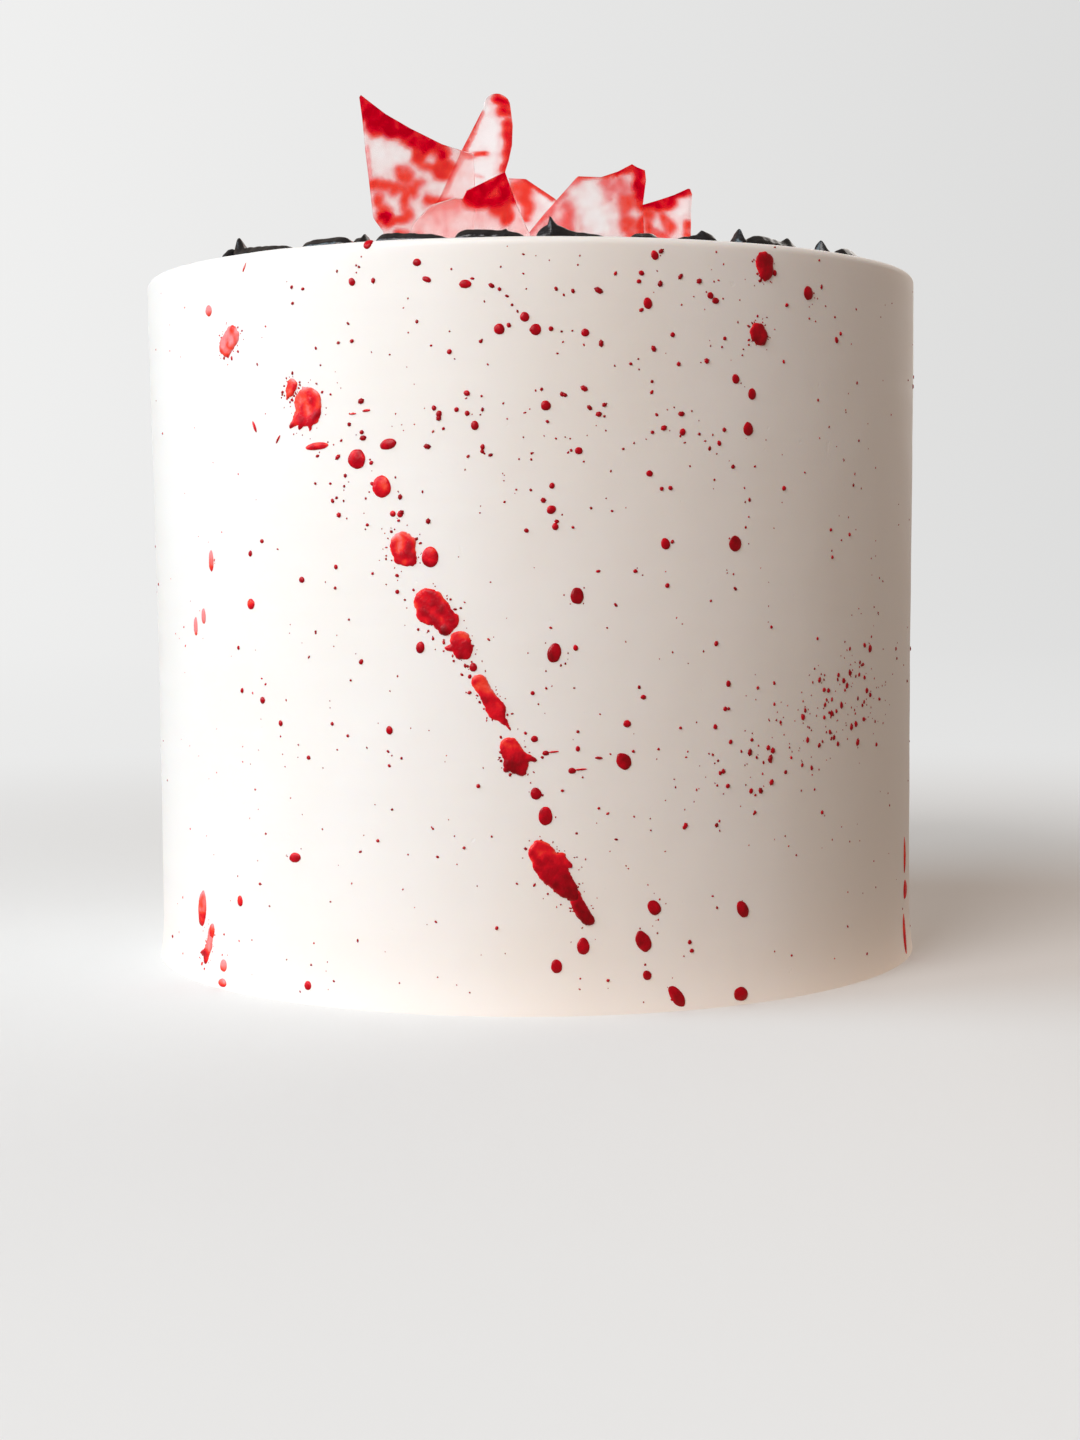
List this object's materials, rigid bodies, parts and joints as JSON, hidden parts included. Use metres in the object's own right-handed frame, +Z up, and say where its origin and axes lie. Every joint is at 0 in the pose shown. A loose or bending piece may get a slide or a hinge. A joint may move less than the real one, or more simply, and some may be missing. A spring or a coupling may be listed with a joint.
{
  "type": "layer cake",
  "caption": "Tall round iced cake with red gel spattered over it, a broken ring of black piped strokes on top and shards of stained sugar glass standing in the middle.",
  "frame": {"origin": "middle of the flat underside of the cake", "axes": "+Z up along the cake's axis, -Y towards the side shown in the picture, +X to its right"},
  "size_m": [0.1584, 0.1585, 0.1793],
  "materials": {
    "buttercream": "smooth scraped buttercream, soft sheen",
    "red_gel": "wet glossy food gel",
    "black_buttercream": "satin piped buttercream",
    "sugar_glass": "clear boiled sugar stained with red gel"
  },
  "bodies": {
    "root": {"iced_cake": "buttercream", "piped_stroke_01": "black_buttercream", "piped_stroke_02": "black_buttercream", "piped_stroke_03": "black_buttercream", "piped_stroke_04": "black_buttercream", "piped_stroke_05": "black_buttercream", "piped_stroke_06": "black_buttercream", "piped_stroke_07": "black_buttercream", "piped_stroke_08": "black_buttercream", "piped_stroke_09": "black_buttercream", "piped_stroke_10": "black_buttercream", "piped_stroke_11": "black_buttercream", "piped_stroke_12": "black_buttercream", "piped_stroke_13": "black_buttercream", "piped_stroke_14": "black_buttercream", "piped_stroke_15": "black_buttercream", "piped_stroke_16": "black_buttercream", "piped_stroke_17": "black_buttercream", "piped_stroke_18": "black_buttercream", "piped_stroke_19": "black_buttercream", "piped_stroke_20": "black_buttercream", "piped_stroke_21": "black_buttercream", "piped_stroke_22": "black_buttercream", "piped_stroke_23": "black_buttercream", "piped_stroke_24": "black_buttercream", "piped_stroke_25": "black_buttercream", "piped_stroke_26": "black_buttercream", "piped_stroke_27": "black_buttercream", "piped_stroke_28": "black_buttercream", "sugar_shard_1": "sugar_glass", "sugar_shard_2": "sugar_glass", "sugar_shard_3": "sugar_glass", "sugar_shard_4": "sugar_glass", "sugar_shard_5": "sugar_glass", "sugar_shard_6": "sugar_glass"}
  },
  "joints": []
}
